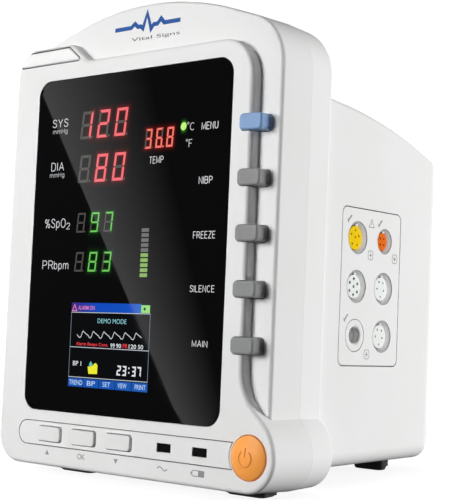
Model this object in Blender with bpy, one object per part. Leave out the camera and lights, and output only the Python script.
"""Bench-top patient monitor: a white two-shell housing that leans back on four
rubber feet, a black display window, nine push keys, a panel of patient sockets,
a battery bay and the electronics that it carries.

Everything is laid out in the face frame: X to the right, Y into the housing from
the front face, Z up along the face, in millimetres.  One empty turns that frame
back by the lean angle and stands the feet on Z = 0."""
import math

import bmesh
import bpy
from mathutils import Vector

MM = 0.001

# ---------------------------------------------------------------- driving sizes
LEAN = math.radians(3.67)        # the front face leans back by this much
TABLE_Z = -3.5                   # height of the table plane below the face origin
XL, XR = -90.3, 95.3             # left and right side of the shells
CX = 0.5 * (XL + XR)             # middle of the shells
ZB = 0.7                         # underside of the shells
APEX_Z = 255.7                   # where the two slopes of the hood would meet
APEX_R = 181.0                   # radius that rounds the hood
HOOD_SLOPE = 0.3424              # fall of the hood per millimetre of half width
STEP_Y = 6.7                     # depth of the raised front plate
PART_Y = 29.3                    # parting line of the two shells
COLLAR_Y = 47.2                  # rear face of the collar
BACK_Y = 153.5                   # rear wall
BODY_XL, BODY_XR = -87.0, 92.0   # sides of the rear body
WALL = 2.8                       # wall thickness
GAP = 0.35                       # clearance between pieces
WINDOW = (-70.0, 69.8, 30.5, 209.0, 8.5)     # x0, x1, z0, z1, corner radius
KNOB = (88.6, 18.1)              # middle of the power button
KNOB_R = 10.4
BARREL = (86.4, 18.1, 17.4)      # x, z, radius of the housing round the button
KEY_Z = (176.0, 149.45, 122.9, 96.35, 69.8)  # side keys, top to bottom
KEY_X = (75.6, 89.6)
KEY_H = 8.0
KEY_TRAVEL = 1.2
FRONT_KEY_X = (-48.3, -22.4, 3.4)
FRONT_KEY_Z = 18.15
FRONT_KEY_W, FRONT_KEY_H = 18.2, 7.9
STRIP = (-73.0, 11.9, 24.4)      # left end, bottom, top of the control strip
SOCKET_Y = (77.3, 102.0)
SOCKET_Z = (127.0, 102.0, 77.0)
SOCKET_PANEL = (63.4, 117.0, 61.6, 142.2, 3.6)   # y0, y1, z0, z1, corner radius
DOOR = (66.0, 142.0, 78.0, 140.0)            # battery door: y0, y1, z0, z1
HINGE = (-85.4, 79.6)            # x, z of the battery door's axis
INLET = (-50.0, 42.0)            # x, z of the mains inlet
POCKET = (-46.5, 51.5, 203.0)    # hand recess: left, right, floor


def table_z(y):
    """Height of the table, in the face frame, under depth y."""
    return TABLE_Z + math.tan(LEAN) * y


def body_top(y):
    t = y - 54.0
    return 195.4 - 0.058 * t - 0.001537 * t * t


def body_bottom(y):
    return 9.9 + 0.021 * (y - 58.0)


# ------------------------------------------------------------------ clean scene
for old in list(bpy.data.objects):
    bpy.data.objects.remove(old, do_unlink=True)

scene = bpy.context.scene
root = bpy.data.objects.new("monitor_frame", None)
scene.collection.objects.link(root)
root.rotation_euler = (-LEAN, 0.0, 0.0)

MATS = {}


def material(name, rgb, rough, metal=0.0):
    if name not in MATS:
        m = bpy.data.materials.new(name)
        m.use_nodes = True
        m.diffuse_color = (*rgb, 1.0)
        p = m.node_tree.nodes["Principled BSDF"]
        p.inputs["Base Color"].default_value = (*rgb, 1.0)
        p.inputs["Roughness"].default_value = rough
        p.inputs["Metallic"].default_value = metal
        MATS[name] = m
    return MATS[name]


WHITE = ("housing_white", (0.86, 0.86, 0.87), 0.42)
BLACK = ("window_black", (0.008, 0.008, 0.009), 0.08)
LENS = ("lamp_white", (0.88, 0.88, 0.88), 0.25)
GREY = ("key_grey", (0.27, 0.27, 0.29), 0.5)
BLUE = ("key_blue", (0.22, 0.38, 0.68), 0.45)
ORANGE = ("button_orange", (0.87, 0.25, 0.02), 0.35)
DARK = ("rubber_black", (0.02, 0.02, 0.02), 0.85)
YELLOW = ("socket_yellow", (0.86, 0.55, 0.04), 0.45)
AMBER = ("socket_orange", (0.85, 0.27, 0.05), 0.45)
PLUGBLACK = ("inlet_black", (0.02, 0.02, 0.022), 0.4)
STEEL = ("plated_steel", (0.62, 0.62, 0.63), 0.35, 1.0)
BRASS = ("brass", (0.72, 0.55, 0.25), 0.3, 1.0)
BOARD = ("circuit_board", (0.02, 0.19, 0.07), 0.5)
MODULE = ("module_black", (0.03, 0.03, 0.03), 0.5)
CELLS = ("battery_blue", (0.05, 0.12, 0.3), 0.5)
HOSE = ("hose_grey", (0.3, 0.3, 0.3), 0.7)
LABEL = ("label_silver", (0.72, 0.73, 0.74), 0.4)


# ---------------------------------------------------------------- shape helpers
def from_data(verts, faces):
    bm = bmesh.new()
    vs = [bm.verts.new(Vector(v) * MM) for v in verts]
    for f in faces:
        bm.faces.new([vs[i] for i in f])
    bmesh.ops.remove_doubles(bm, verts=bm.verts, dist=1e-8)
    bmesh.ops.recalc_face_normals(bm, faces=bm.faces)
    return bm


def rings_solid(rings):
    """A closed solid through equal rings of points, capped at both ends."""
    n = len(rings[0])
    verts = [p for ring in rings for p in ring]
    faces = [list(range(n))[::-1], [(len(rings) - 1) * n + i for i in range(n)]]
    for k in range(len(rings) - 1):
        for i in range(n):
            j = (i + 1) % n
            faces.append([k * n + i, k * n + j, (k + 1) * n + j, (k + 1) * n + i])
    return from_data(verts, faces)


def area(pts):
    return 0.5 * sum(a[0] * b[1] - b[0] * a[1] for a, b in zip(pts, pts[1:] + pts[:1]))


def inset(pts, d):
    """The outline moved inward by d, with mitred corners."""
    n, out = len(pts), []
    sign = 1.0 if area(pts) > 0 else -1.0
    for i in range(n):
        p, q, s = pts[i - 1], pts[i], pts[(i + 1) % n]
        e1 = (Vector(q) - Vector(p)).normalized()
        e2 = (Vector(s) - Vector(q)).normalized()
        n1 = Vector((-e1.y, e1.x)) * sign
        n2 = Vector((-e2.y, e2.x)) * sign
        m = n1 + n2
        k = max(0.45, m.dot(n1))
        out.append((q[0] + d * m.x / k, q[1] + d * m.y / k))
    return out


def corner(p, q, s, r, n):
    """Points of the arc of radius r that rounds the corner q between p and s."""
    a = (Vector(p) - Vector(q)).normalized()
    b = (Vector(s) - Vector(q)).normalized()
    half = 0.5 * a.angle(b)
    t = r / math.tan(half)
    c = Vector(q) + (a + b).normalized() * (r / math.sin(half))
    v0 = Vector(q) + a * t - c
    v1 = Vector(q) + b * t - c
    turn = v0.angle_signed(v1)
    out = []
    for i in range(n + 1):
        w = v0.copy()
        ang = -turn * i / n
        out.append((c.x + w.x * math.cos(ang) - w.y * math.sin(ang),
                    c.y + w.x * math.sin(ang) + w.y * math.cos(ang)))
    return out


def rounded(verts, n=6):
    """Outline of a polygon given as (x, z, radius)."""
    out, m = [], len(verts)
    for i in range(m):
        p, q, s = verts[i - 1], verts[i], verts[(i + 1) % m]
        if q[2] > 0:
            out += corner(p[:2], q[:2], s[:2], q[2], n)
        else:
            out.append((q[0], q[1]))
    return out


def rect(x0, x1, z0, z1, r=0.0, n=4):
    if r <= 0:
        return [(x0, z0), (x1, z0), (x1, z1), (x0, z1)]
    return rounded([(x0, z0, r), (x1, z0, r), (x1, z1, r), (x0, z1, r)], n)


def circle(cx, cz, r, n=32):
    return [(cx + r * math.cos(2 * math.pi * i / n), cz + r * math.sin(2 * math.pi * i / n))
            for i in range(n)]


def spline(knots, n):
    """A smooth curve through the knots, n steps to a span."""
    out = []
    for i in range(len(knots) - 1):
        p0 = Vector(knots[max(i - 1, 0)])
        p1, p2 = Vector(knots[i]), Vector(knots[i + 1])
        p3 = Vector(knots[min(i + 2, len(knots) - 1)])
        for k in range(n):
            t = k / n
            v = 0.5 * ((2 * p1) + (p2 - p0) * t + (2 * p0 - 5 * p1 + 4 * p2 - p3) * t * t
                       + (3 * p1 - p0 - 3 * p2 + p3) * t ** 3)
            out.append((v.x, v.y) if k else tuple(knots[i]))
    out.append(tuple(knots[-1]))
    return out


def along_y(pts, y0, y1, r0=0.0, r1=0.0, steps=3):
    """Extrude an X-Z outline from y0 to y1, with rounded front and rear edges."""
    rings = []
    if r0 > 0:
        for i in range(steps + 1):
            a = 0.5 * math.pi * i / steps
            rings.append([(x, y0 + r0 * (1 - math.cos(a)), z)
                          for x, z in inset(pts, r0 * (1 - math.sin(a)))])
    else:
        rings.append([(x, y0, z) for x, z in pts])
    if r1 > 0:
        for i in range(steps + 1):
            a = 0.5 * math.pi * i / steps
            rings.append([(x, y1 - r1 * (1 - math.sin(a)), z)
                          for x, z in inset(pts, r1 * (1 - math.cos(a)))])
    else:
        rings.append([(x, y1, z) for x, z in pts])
    return rings_solid(rings)


def along_x(pts, x0, x1, r1=0.0, steps=3):
    """Extrude a Y-Z outline from x0 to x1, with a rounded edge at x1."""
    rings = [[(x0, y, z) for y, z in pts]]
    if r1 > 0:
        for i in range(steps + 1):
            a = 0.5 * math.pi * i / steps
            rings.append([(x1 - r1 * (1 - math.sin(a)), y, z)
                          for y, z in inset(pts, r1 * (1 - math.cos(a)))])
    else:
        rings.append([(x1, y, z) for y, z in pts])
    return rings_solid(rings)


def block(x0, x1, y0, y1, z0, z1):
    return along_y(rect(x0, x1, z0, z1), y0, y1)


def turned(profile, centre, axis, n=24):
    """A body of revolution.  profile is (radius, distance along the axis)."""
    verts, rows = [], []
    for r, t in profile:
        if r < 1e-6:
            rows.append([len(verts)])
            pts = [(0.0, 0.0)]
        else:
            rows.append(list(range(len(verts), len(verts) + n)))
            pts = [(r * math.cos(2 * math.pi * i / n), r * math.sin(2 * math.pi * i / n))
                   for i in range(n)]
        for a, b in pts:
            if axis == "Y":
                verts.append((centre[0] + a, centre[1] + t, centre[2] + b))
            elif axis == "X":
                verts.append((centre[0] + t, centre[1] + a, centre[2] + b))
            else:
                verts.append((centre[0] + a, centre[1] + b, centre[2] + t))
    faces = []
    for p, q in zip(rows, rows[1:]):
        for i in range(n):
            j = (i + 1) % n
            if len(p) == 1:
                faces.append([p[0], q[i], q[j]])
            elif len(q) == 1:
                faces.append([p[i], q[0], p[j]])
            else:
                faces.append([p[i], q[i], q[j], p[j]])
    return from_data(verts, faces)


def made(name, bm, mat, smooth=32.0):
    mesh = bpy.data.meshes.new(name)
    bm.to_mesh(mesh)
    bm.free()
    mesh.materials.append(material(*mat))
    mesh.shade_smooth()
    mesh.set_sharp_from_angle(angle=math.radians(smooth))
    ob = bpy.data.objects.new(name, mesh)
    scene.collection.objects.link(ob)
    ob.parent = root
    return ob


def combine(ob, bm, how):
    """Join or cut ob with another solid, and keep the result as its mesh."""
    tool = made("tool", bm, WHITE)
    tool.hide_render = True
    tool.display_type = "WIRE"
    mod = ob.modifiers.new("combine", "BOOLEAN")
    mod.operation = how
    mod.solver = "EXACT"
    mod.object = tool
    bpy.context.view_layer.update()
    dg = bpy.context.evaluated_depsgraph_get()
    result = bpy.data.meshes.new_from_object(ob.evaluated_get(dg))
    ob.modifiers.remove(mod)
    old, old_tool = ob.data, tool.data
    ob.data = result
    bpy.data.objects.remove(tool, do_unlink=True)
    bpy.data.meshes.remove(old)
    bpy.data.meshes.remove(old_tool)
    result.name = ob.name
    return ob


def add(ob, bm):
    return combine(ob, bm, "UNION")


def cut(ob, bm):
    return combine(ob, bm, "DIFFERENCE")


def several(*parts):
    """Several separate solids in one mesh, used as one cutter."""
    out = bmesh.new()
    for bm in parts:
        tmp = bpy.data.meshes.new("part")
        bm.to_mesh(tmp)
        bm.free()
        out.from_mesh(tmp)
        bpy.data.meshes.remove(tmp)
    return out


def tidy(ob, angle=32.0, merge=2e-5):
    """Merge the near-coincident points that a cut leaves, and shade the result."""
    bm = bmesh.new()
    bm.from_mesh(ob.data)
    bmesh.ops.dissolve_degenerate(bm, dist=5e-6, edges=bm.edges)
    bmesh.ops.dissolve_limit(bm, angle_limit=math.radians(0.05),
                             verts=bm.verts, edges=bm.edges)
    bmesh.ops.triangulate(bm, faces=[f for f in bm.faces if len(f.verts) > 4])
    bm.to_mesh(ob.data)
    bm.free()
    ob.data.shade_smooth()
    ob.data.set_sharp_from_angle(angle=math.radians(angle))
    return ob


# --------------------------------------------------------------------- outlines
slope_z = APEX_Z - HOOD_SLOPE * (XR - CX)
apex = (CX, APEX_Z)
top_left = corner((XL, ZB), (XL, slope_z), apex, 18.0, 6)
hood = corner((XL, slope_z), apex, (XR, slope_z), APEX_R, 14)
top_right = corner(apex, (XR, slope_z), (XR, ZB), 27.0, 8)
bottom_left = corner((CX, ZB), (XL, ZB), (XL, slope_z), 16.0, 6)
# The right edge of the raised plate sweeps out and down round the power button.
sweep = spline([(82.2, 70.0), (82.2, 62.0), (82.7, 54.5), (85.0, 47.2), (89.6, 41.0),
                (XR, 35.9), (99.6, 31.2), (102.6, 25.2), (103.8, 18.1)], 3)
barrel = [(BARREL[0] + BARREL[2] * math.cos(-0.5 * math.pi * i / 9),
           BARREL[1] + BARREL[2] * math.sin(-0.5 * math.pi * i / 9)) for i in range(1, 10)]
leave = sweep.index((XR, 35.9))

shell = bottom_left + top_left + hood + top_right + sweep[leave:] + barrel

bump_top = 228.6
meet_x = CX - (APEX_Z - bump_top) / HOOD_SLOPE
plate_top = (rounded([(meet_x, bump_top, 0), (-46.0, bump_top, 4.0), (-33.6, 218.6, 4.0),
                      (-20.0, 218.6, 0)], 4))
plate_corner = corner((0.0, 218.6), (82.2, 218.6), (82.2, 60.0), 20.0, 7)
plate = bottom_left + top_left + plate_top + plate_corner + sweep + barrel

lens_shape = rounded([(-86.2, 218.9, 0.8), (-86.0, 226.4, 7.0), (-48.2, 226.4, 1.6),
                      (-39.6, 219.8, 0.7), (-40.2, 218.9, 0.5)], 4)

# ---------------------------------------------------------------- front housing
front = made("front_housing", along_y(shell, STEP_Y, PART_Y - 0.15, r0=2.0), WHITE)
add(front, along_y(plate, 0.0, STEP_Y + 3.5, r0=1.8))
cut(front, along_y(inset(plate, 2.6), 4.2, 12.0))
cut(front, along_y(inset(shell, 3.0), 9.5, 36.0))
wx0, wx1, wz0, wz1, wr = WINDOW
strip_right = KNOB[0] - 11.6


def strip_outline(grow):
    """Control strip: round left end, right end hollowed round the button."""
    x0, z0, z1 = STRIP[0] - grow, STRIP[1] - grow, STRIP[2] + grow
    r = 0.5 * (z1 - z0)
    zc = 0.5 * (z0 + z1)
    left = [(x0 + r - r * math.sin(math.pi * i / 10), zc - r * math.cos(math.pi * i / 10))
            for i in range(11)]
    rr = 11.9 - grow
    a = math.asin(min(1.0, r / rr))
    right = [(KNOB[0] - rr * math.cos(a - 2 * a * i / 6), zc + rr * math.sin(a - 2 * a * i / 6))
             for i in range(7)]
    return left + right


def key_block(i, grow, y0, y1):
    z = KEY_Z[i]
    return along_y(rect(KEY_X[0] - grow, KEY_X[1] + grow, z - 0.5 * KEY_H - grow,
                        z + 0.5 * KEY_H + grow, 2.2 + 0.5 * grow, 3), y0, y1)


def front_key(i, grow, y0, y1):
    x = FRONT_KEY_X[i]
    return along_y(rect(x - 0.5 * FRONT_KEY_W - grow, x + 0.5 * FRONT_KEY_W + grow,
                        FRONT_KEY_Z - 0.5 * FRONT_KEY_H - grow,
                        FRONT_KEY_Z + 0.5 * FRONT_KEY_H + grow, 1.8 + 0.5 * grow, 3), y0, y1)


INDICATORS = ((34.7, 18.0), (58.2, 17.9))


def indicator(i, grow, y0, y1):
    x, z = INDICATORS[i]
    return along_y(rect(x - 4.6 - grow, x + 4.6 + grow, z - 2.1 - grow, z + 2.1 + grow,
                        0.6, 2), y0, y1)


cut(front, along_y(rect(wx0 - GAP, wx1 + GAP, wz0 - GAP, wz1 + GAP, wr + GAP, 6), -2.0, 2.35))
cut(front, along_y(rect(wx0 + 3.5, wx1 - 3.5, wz0 + 3.5, wz1 - 3.5, 5.5, 4), 1.0, 6.0))
cut(front, along_y(strip_outline(GAP), -2.0, 1.5))
cut(front, several(*[front_key(i, GAP, 0.5, 6.0) for i in range(3)],
                   *[indicator(i, GAP, 0.5, 6.0) for i in range(2)],
                   turned([(0, -3), (KNOB_R + GAP, -3), (KNOB_R + GAP, 6.5), (0, 6.5)],
                          (KNOB[0], 0, KNOB[1]), "Y", 36)))
cut(front, several(*[key_block(i, GAP, -4.0, 11.0) for i in range(5)],
                   along_y(inset(lens_shape, -GAP), -2.0, 6.5)))
tidy(front)

made("display_window", along_y(rect(wx0, wx1, wz0, wz1, wr, 6), 0.1, 2.05, r0=0.3, steps=2), BLACK)
made("alarm_lamp_lens", along_y(lens_shape, -0.35, 5.4, r0=0.7, steps=2), LENS)
strip = made("control_strip", along_y(strip_outline(0.0), 0.0, 1.2), WHITE)
cut(strip, several(*[front_key(i, GAP, -1.0, 3.0) for i in range(3)],
                   *[indicator(i, GAP, -1.0, 3.0) for i in range(2)]))
tidy(strip)

# --------------------------------------------------------------------- push keys
for i, name in enumerate(("key_menu", "key_nibp", "key_freeze", "key_silence", "key_main")):
    z = KEY_Z[i]
    cap = rect(KEY_X[0], KEY_X[1], z - 0.5 * KEY_H, z + 0.5 * KEY_H, 2.2, 3)
    key = made(name, along_y(cap, -1.7, 11.0, r0=1.1), BLUE if i == 0 else GREY)
    add(key, along_y(rect(KEY_X[0] - 1.8, KEY_X[1] + 1.7, z - 6.0, z + 6.0, 1.0, 2), 9.9, 11.4))
    add(key, turned([(0, 10.6), (2.4, 10.6), (2.4, 12.7), (0, 12.7)], (82.6, 0, z), "Y", 12))
    tidy(key)

for i, name in enumerate(("key_up", "key_ok", "key_down")):
    x = FRONT_KEY_X[i]
    cap = rect(x - 0.5 * FRONT_KEY_W, x + 0.5 * FRONT_KEY_W, FRONT_KEY_Z - 0.5 * FRONT_KEY_H,
               FRONT_KEY_Z + 0.5 * FRONT_KEY_H, 1.8, 3)
    key = made(name, along_y(cap, -1.7, 5.4, r0=0.9), WHITE)
    add(key, along_y(rect(x - 10.6, x + 10.6, FRONT_KEY_Z - 5.2, FRONT_KEY_Z + 5.2, 1.0, 2),
                     4.8, 6.0))
    add(key, turned([(0, 5.6), (2.2, 5.6), (2.2, 7.2), (0, 7.2)],
                    (x, 0, FRONT_KEY_Z), "Y", 12))
    tidy(key)

dome = [(0, -3.0)]
for i in range(1, 6):
    a = math.radians(11.0 * i)
    dome.append((KNOB_R * 0.93 * math.sin(a) / math.sin(math.radians(55.0)),
                 -3.0 + 2.1 * (1 - math.cos(a)) / (1 - math.cos(math.radians(55.0)))))
dome += [(KNOB_R, -0.3), (KNOB_R, 4.9), (12.0, 4.9), (12.0, 6.3), (3.0, 6.3), (3.0, 7.4), (0, 7.4)]
made("power_button", turned(dome, (KNOB[0], 0, KNOB[1]), "Y", 36), ORANGE)
made("mains_indicator", indicator(0, 0.0, 0.15, 4.6), BLACK)
made("battery_indicator", indicator(1, 0.0, 0.15, 4.6), BLACK)


# ----------------------------------------------------------------- rear housing
def body_ring(y, d, dtop=0.0, dbot=0.0):
    """One section of the rear body at depth y, moved in by d all round."""
    x0, x1 = BODY_XL + d, BODY_XR - d
    z0, z1 = body_bottom(y) + d + dbot, body_top(y) - d - dtop
    rt, rb = max(4.0 - 0.5 * d, 1.5), max(8.0 - 0.7 * d, 2.5)
    pts = rounded([(x0, z0, rb), (x1, z0, rb), (x1, z1, rt), (x0, z1, rt)], 4)
    return [(x, y, z) for x, z in pts]


def body_solid(y0, d, yb):
    """The rear body from y0 to its rounded rear wall, moved in by d."""
    rings = [body_ring(y0, d)]
    for k in range(1, 8):
        rings.append(body_ring(y0 + (yb - 7.0 - y0) * k / 7.0, d))
    for k in range(1, 5):
        a = 0.5 * math.pi * k / 4
        s = 1 - math.cos(a)
        rings.append(body_ring(yb - 7.0 + 7.0 * math.sin(a), d + 5.5 * s, 1.5 * s, 3.5 * s))
    return rings_solid(rings)


pocket_out = rounded([(POCKET[0] - 2.2, POCKET[2] - 2.2, 5.0), (POCKET[1] + 2.2, POCKET[2] - 2.2, 5.0),
                      (POCKET[1] + 2.2, 227.2, 8.0), (CX, 238.6, 90.0),
                      (POCKET[0] - 2.2, 227.2, 8.0)], 5)
pocket_in = inset(pocket_out, 2.2)

rear = made("rear_housing", along_y(shell, PART_Y + 0.15, COLLAR_Y, r1=1.4), WHITE)
cut(rear, along_y(inset(shell, 3.0), 20.0, COLLAR_Y - WALL))
add(rear, body_solid(COLLAR_Y - 1.5, 0.0, BACK_Y))
cut(rear, body_solid(COLLAR_Y - 6.0, WALL, BACK_Y - WALL))
add(rear, along_y(pocket_out, 14.0, COLLAR_Y - 1.2))
cut(rear, along_y(pocket_in, 16.2, COLLAR_Y + 6.0))
# battery bay on the left side
add(rear, block(-86.4, -81.5, DOOR[0] - 3.0, DOOR[1] + 3.0, DOOR[2] - 3.0, DOOR[3] + 3.0))
add(rear, block(-82.0, -56.0, 68.0, 140.0, 80.0, 138.0))
cut(rear, along_x(rect(DOOR[0] - 0.4, DOOR[1] + 0.4, DOOR[2] - 0.4, DOOR[3] + 0.4, 0.0),
                  -90.0, -83.4))
cut(rear, several(block(-84.5, -58.0, 70.0, 138.0, 82.0, 136.0)))
cut(rear, several(block(-90.0, -85.6, 97.0, 111.0, 139.0, 143.6)))
cut(rear, turned([(0, 63.8), (1.3, 63.8), (1.3, 144.2), (0, 144.2)],
                 (HINGE[0], 0, HINGE[1]), "Y", 12))
# socket panel recess and the openings behind it
py0, py1, pz0, pz1, pr = SOCKET_PANEL
cut(rear, along_x(rect(py0 - GAP, py1 + GAP, pz0 - GAP, pz1 + GAP, pr + GAP, 4), 90.0, 96.0))
SOCKETS = [("socket_yellow_6_pin", 0, 0, YELLOW), ("socket_orange", 1, 0, AMBER),
           ("socket_7_pin", 0, 1, WHITE), ("socket_5_pin_upper", 1, 1, WHITE),
           ("nibp_fitting", 0, 2, WHITE), ("socket_5_pin_lower", 1, 2, WHITE)]


def socket_radius(name):
    return 6.4 if name == "socket_orange" else 8.2


# rear wall: mains inlet, network port, speaker grille, vents, screw recesses, stud
ix, iz = INLET
SCREWS = ((-76.0, 26.0), (81.0, 26.0), (-76.0, 152.0), (81.0, 152.0))
PORT = (-8.0, 40.0)
cut(rear, several(block(ix - 13.8, ix + 13.8, 145.0, 160.0, iz - 10.2, iz + 10.2),
                  block(PORT[0] - 8.3, PORT[0] + 8.3, 145.0, 160.0, PORT[1] - 7.3, PORT[1] + 7.3),
                  turned([(0, 145), (2.7, 145), (2.7, 160), (0, 160)], (-24.0, 0, 42.0), "Y", 16),
                  *[block(-62.0, 8.0, 145.0, 160.0, 118.0 + 6.0 * k, 120.8 + 6.0 * k)
                    for k in range(6)],
                  *[block(45.0 - hw, 45.0 + hw, 145.0, 160.0, 129.0 + dz, 131.6 + dz)
                    for hw, dz in ((11, -16), (17, -10.7), (19.5, -5.3), (20, 0), (19.5, 5.3),
                                   (17, 10.7), (11, 16))],
                  *[turned([(0, BACK_Y - 1.9), (3.7, BACK_Y - 1.9), (3.7, 160), (0, 160)],
                           (x, 0, z), "Y", 16) for x, z in SCREWS]))
cut(rear, several(*[turned([(0, 86.0), (socket_radius(s[0]) + 0.3, 86.0),
                            (socket_radius(s[0]) + 0.3, 93.0), (0, 93.0)],
                           (0, SOCKET_Y[s[1]], SOCKET_Z[s[2]]), "X", 24) for s in SOCKETS]))
tidy(rear)

door = made("battery_door", along_x([(y, z) for y, z in rect(DOOR[0], DOOR[1], HINGE[1], DOOR[3])],
                                    -83.8, BODY_XL), WHITE)
add(door, turned([(0, DOOR[0]), (1.6, DOOR[0]), (1.6, DOOR[1]), (0, DOOR[1])],
                 (HINGE[0], 0, HINGE[1]), "Y", 16))
add(door, turned([(0, DOOR[0] - 1.7), (0.9, DOOR[0] - 1.7), (0.9, DOOR[1] + 1.7), (0, DOOR[1] + 1.7)],
                 (HINGE[0], 0, HINGE[1]), "Y", 12))
tidy(door)
made("battery_pack", along_x(rect(71.5, 136.5, 84.0, 134.0, 2.0, 2), -60.0, -83.2), CELLS)

panel = made("socket_panel", along_x(rect(py0, py1, pz0, pz1, pr, 4), 90.3, BODY_XR, r1=0.3, steps=1),
             WHITE)
cut(panel, several(*[turned([(0, 86.0), (socket_radius(s[0]) + 0.3, 86.0),
                             (socket_radius(s[0]) + 0.3, 95.0), (0, 95.0)],
                            (0, SOCKET_Y[s[1]], SOCKET_Z[s[2]]), "X", 32) for s in SOCKETS]))
tidy(panel)
for name, cy, cz, mat in SOCKETS:
    r = socket_radius(name)
    if name == "nibp_fitting":
        prof = [(0, 66.0), (3.0, 66.0), (3.0, 72.0), (r, 72.0), (r, 91.9), (3.5, 91.9), (3.5, 80.0),
                (0, 80.0)]
    else:
        ri = r - 2.1
        prof = [(0, 74.0), (r, 74.0), (r, 91.9), (r - 0.9, 91.9), (r - 0.9, 87.0), (ri, 87.0),
                (ri, 90.6), (0, 90.6)]
    made(name, turned(prof, (0, SOCKET_Y[cy], SOCKET_Z[cz]), "X", 24), mat)

inlet = made("mains_inlet", along_y(rect(ix - 15.4, ix + 15.4, iz - 12.0, iz + 12.0, 3.0, 3),
                                    BACK_Y + 0.3, BACK_Y + 2.6, r1=0.8, steps=2), PLUGBLACK)
add(inlet, block(ix - 13.4, ix + 13.4, BACK_Y - 22.0, BACK_Y + 1.0, iz - 9.8, iz + 9.8))
cut(inlet, along_y(rounded([(ix - 11.9, iz - 8.2, 1.0), (ix + 11.9, iz - 8.2, 1.0),
                            (ix + 11.9, iz + 4.0, 1.0), (ix + 8.0, iz + 8.2, 1.0),
                            (ix - 8.0, iz + 8.2, 1.0), (ix - 11.9, iz + 4.0, 1.0)], 2),
                   BACK_Y - 15.0, BACK_Y + 6.0))
cut(inlet, several(*[block(ix + dx - 1.3, ix + dx + 1.3, BACK_Y - 25.0, BACK_Y - 10.0,
                           iz + dz - 2.3, iz + dz + 2.3)
                     for dx, dz in ((-7.0, -2.6), (7.0, -2.6), (0.0, 3.6))]))
tidy(inlet)
for name, dx, dz in (("inlet_pin_line", -7.0, -2.6), ("inlet_pin_neutral", 7.0, -2.6),
                     ("inlet_pin_earth", 0.0, 3.6)):
    made(name, along_y(rect(ix + dx - 1.0, ix + dx + 1.0, iz + dz - 2.0, iz + dz + 2.0, 0.3, 1),
                       BACK_Y - 26.0, BACK_Y - 1.5, r1=0.5, steps=1), STEEL)

port = made("network_port", block(PORT[0] - 8.0, PORT[0] + 8.0, BACK_Y - 18.0, BACK_Y - 0.2,
                                  PORT[1] - 7.0, PORT[1] + 7.0), STEEL)
cut(port, along_y(rounded([(PORT[0] - 6.0, PORT[1] - 5.2, 0), (PORT[0] - 3.4, PORT[1] - 5.2, 0),
                           (PORT[0] - 3.4, PORT[1] - 6.2, 0), (PORT[0] + 3.4, PORT[1] - 6.2, 0),
                           (PORT[0] + 3.4, PORT[1] - 5.2, 0), (PORT[0] + 6.0, PORT[1] - 5.2, 0),
                           (PORT[0] + 6.0, PORT[1] + 2.8, 0), (PORT[0] - 6.0, PORT[1] + 2.8, 0)]),
                  BACK_Y - 14.0, BACK_Y + 2.0))
tidy(port)
made("earth_stud", turned([(0, 140.0), (2.2, 140.0), (2.2, BACK_Y + 0.4), (5.0, BACK_Y + 0.4),
                           (5.0, BACK_Y + 1.6), (2.9, BACK_Y + 1.6), (2.9, BACK_Y + 6.0),
                           (2.2, BACK_Y + 6.8), (0, BACK_Y + 6.8)], (-24.0, 0, 42.0), "Y", 20), BRASS)
made("rating_plate", along_y(rect(-68.0, 14.0, 66.0, 104.0, 2.0, 3), BACK_Y + 0.3, BACK_Y + 0.8),
     LABEL)
for k, (x, z) in enumerate(SCREWS):
    made("housing_screw_%d" % (k + 1),
         turned([(0, BACK_Y - 1.6), (3.3, BACK_Y - 1.6), (3.3, BACK_Y - 0.9), (2.6, BACK_Y - 0.25),
                 (1.2, BACK_Y - 0.1), (0, BACK_Y - 0.9)], (x, 0, z), "Y", 16), STEEL)

# ------------------------------------------------------------------------- feet
FEET = (("foot_front_left", -58.4, -33.2, 16.5, 28.8), ("foot_front_right", 60.4, 85.0, 16.5, 28.8),
        ("foot_rear_left", -74.0, -54.0, 125.5, 134.0), ("foot_rear_right", 59.0, 79.0, 125.5, 134.0))
for name, x0, x1, y0, y1 in FEET:
    top = ((lambda y: ZB - 0.3) if y0 < 50 else (lambda y: body_bottom(y) - 0.3))
    rings = []
    for frac, d in ((1.0, 0.0), (0.35, 0.0), (0.3, 0.7), (0.06, 1.1), (0.0, 1.5)):
        ring = []
        for x, y in rect(x0 + d, x1 - d, y0 + d, y1 - d, 2.6, 3):
            zt = top(y)
            zb = table_z(y)
            ring.append((x, y, zb + (zt - zb) * frac))
        rings.append(ring)
    made(name, rings_solid(rings), DARK)

# -------------------------------------------------------------------- inner parts
board = made("display_board", block(-66.0, 66.0, 8.4, 10.0, 34.0, 205.0), BOARD)
cut(board, several(*[turned([(0, 5), (1.7, 5), (1.7, 12), (0, 12)], (x, 0, z), "Y", 10)
                     for x in (-61.0, 61.0) for z in (38.0, 120.0, 201.0)]))
tidy(board)
lcd = made("lcd_module", block(-40.0, 25.8, 2.7, 8.0, 40.6, 91.8), STEEL)
cut(lcd, block(-36.3, 22.1, 1.0, 3.1, 44.5, 87.9))
tidy(lcd)
for name, x0, x1, z0, z1 in (("systolic_digits", -39.2, 2.2, 171.0, 195.2),
                             ("diastolic_digits", -39.2, 2.2, 148.8, 170.5),
                             ("temperature_digits", 9.4, 34.6, 164.0, 180.6),
                             ("oxygen_digits", -38.2, -5.8, 122.6, 138.6),
                             ("pulse_digits", -38.2, -5.8, 102.4, 117.6),
                             ("bar_graph", 9.4, 21.2, 100.0, 129.2)):
    made(name, block(x0, x1, 2.7, 8.0, z0, z1), MODULE)
side_board = made("side_key_board", block(74.5, 91.0, 14.3, 15.9, 58.0, 187.0), BOARD)
made("front_key_board", along_y(rect(-62.0, 97.5, 9.6, 26.6), 9.0, 10.6), BOARD)
made("alarm_led_board", block(-79.0, -45.0, 6.4, 7.9, 214.5, 221.5), BOARD)

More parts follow.
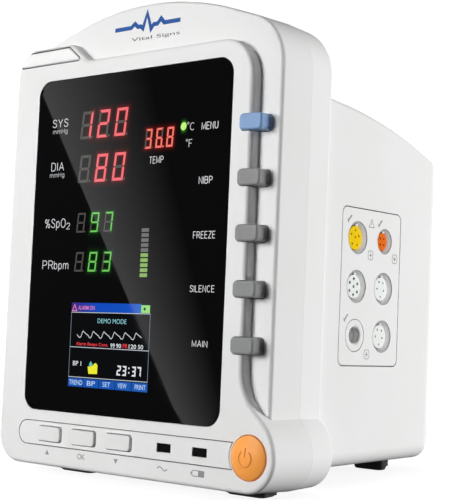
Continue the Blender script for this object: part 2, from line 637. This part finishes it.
frame = made("chassis_frame", block(-80.0, 70.0, 19.0, 20.2, 30.0, 190.0), STEEL)
add(frame, block(-80.0, 70.0, 19.4, 38.0, 30.0, 31.2))
add(frame, block(-80.0, 70.0, 19.4, 38.0, 188.8, 190.0))
cut(frame, several(along_y(rect(-60.0, -16.0, 50.0, 100.0, 4.0, 3), 15.0, 25.0),
                   along_y(rect(8.0, 52.0, 50.0, 100.0, 4.0, 3), 15.0, 25.0),
                   along_y(rect(-60.0, -16.0, 120.0, 170.0, 4.0, 3), 15.0, 25.0),
                   along_y(rect(8.0, 52.0, 120.0, 170.0, 4.0, 3), 15.0, 25.0)))
tidy(frame)
main = made("main_board", block(-74.0, 60.0, 26.0, 27.6, 36.0, 184.0), BOARD)
for x0, x1, y1, z0, z1 in ((-30.0, 0.0, 30.0, 96.0, 126.0), (14.0, 32.0, 29.4, 100.0, 118.0),
                           (-64.0, -46.0, 36.0, 44.0, 50.0), (20.0, 54.0, 36.0, 44.0, 50.0)):
    add(main, block(x0, x1, 27.0, y1, z0, z1))
tidy(main)
oxygen = made("oxygen_module", block(-66.0, -20.0, 40.0, 41.6, 130.0, 176.0), BOARD)
add(oxygen, block(-56.0, -32.0, 41.0, 46.0, 142.0, 166.0))
tidy(oxygen)
supply = made("power_supply", block(-78.0, 0.0, 62.0, 126.0, 20.0, 22.0), BOARD)
add(supply, block(-70.0, -44.0, 70.0, 100.0, 21.5, 52.0))
add(supply, block(-36.0, -20.0, 68.0, 88.0, 21.5, 44.0))
add(supply, block(-14.0, -10.0, 66.0, 122.0, 21.5, 50.0))
tidy(supply)
made("nibp_pump", turned([(0, -32), (15.0, -32), (15.0, 8), (13.0, 10), (13.0, 12), (17.0, 12),
                          (17.0, 30), (2.4, 30), (2.4, 38), (0, 38)], (14.0, 104.0, 152.0), "X", 20),
     MODULE)
made("nibp_valve", turned([(0, -12), (8.0, -12), (8.0, 12), (2.0, 12), (2.0, 18), (0, 18)],
                          (40.0, 128.0, 60.0), "Z", 16), STEEL)
cone = [(0, 149.2), (17.0, 149.2), (17.0, 143.0), (11.0, 143.0), (11.0, 136.0), (0, 136.0)]
made("speaker", turned(cone, (45.0, 0, 130.3), "Y", 24), MODULE)


def hose_points():
    """The air hose runs from the pump down past the valve to the cuff fitting."""
    knots = [(52.6, 104.0, 152.0), (58.0, 104.0, 151.0), (63.0, 102.0, 144.0), (64.0, 98.0, 130.0),
             (63.0, 92.0, 112.0), (61.0, 84.0, 94.0), (60.0, 78.6, 81.0), (62.4, 77.3, 77.2),
             (65.6, 77.3, 77.0)]
    pts = []
    for i in range(len(knots) - 1):
        p0, p1 = Vector(knots[max(i - 1, 0)]), Vector(knots[i])
        p2, p3 = Vector(knots[i + 1]), Vector(knots[min(i + 2, len(knots) - 1)])
        for k in range(3):
            t = k / 3
            pts.append(0.5 * ((2 * p1) + (p2 - p0) * t + (2 * p0 - 5 * p1 + 4 * p2 - p3) * t * t
                              + (3 * p1 - p0 - 3 * p2 + p3) * t ** 3))
    pts.append(Vector(knots[-1]))
    return pts


curve = bpy.data.curves.new("air_hose", "CURVE")
curve.dimensions = "3D"
line = curve.splines.new("POLY")
route = hose_points()
line.points.add(len(route) - 1)
for p, q in zip(line.points, route):
    p.co = (q.x * MM, q.y * MM, q.z * MM, 1.0)
curve.bevel_depth = 2.2 * MM
curve.bevel_resolution = 2
curve.use_fill_caps = True
curve.materials.append(material(*HOSE))
hose = bpy.data.objects.new("air_hose", curve)
scene.collection.objects.link(hose)
hose.parent = root

# ------------------------------------------------- stand the monitor on its feet
bpy.context.view_layer.update()
dg = bpy.context.evaluated_depsgraph_get()
low, high = [1e9] * 3, [-1e9] * 3
for ob in scene.objects:
    if ob.type not in {"MESH", "CURVE"}:
        continue
    ev = ob.evaluated_get(dg)
    me = ev.to_mesh()
    for v in me.vertices:
        w = ev.matrix_world @ v.co
        for k in range(3):
            low[k] = min(low[k], w[k])
            high[k] = max(high[k], w[k])
    ev.to_mesh_clear()
root.location = (-0.5 * (low[0] + high[0]), -0.5 * (low[1] + high[1]), -low[2])
bpy.context.view_layer.update()
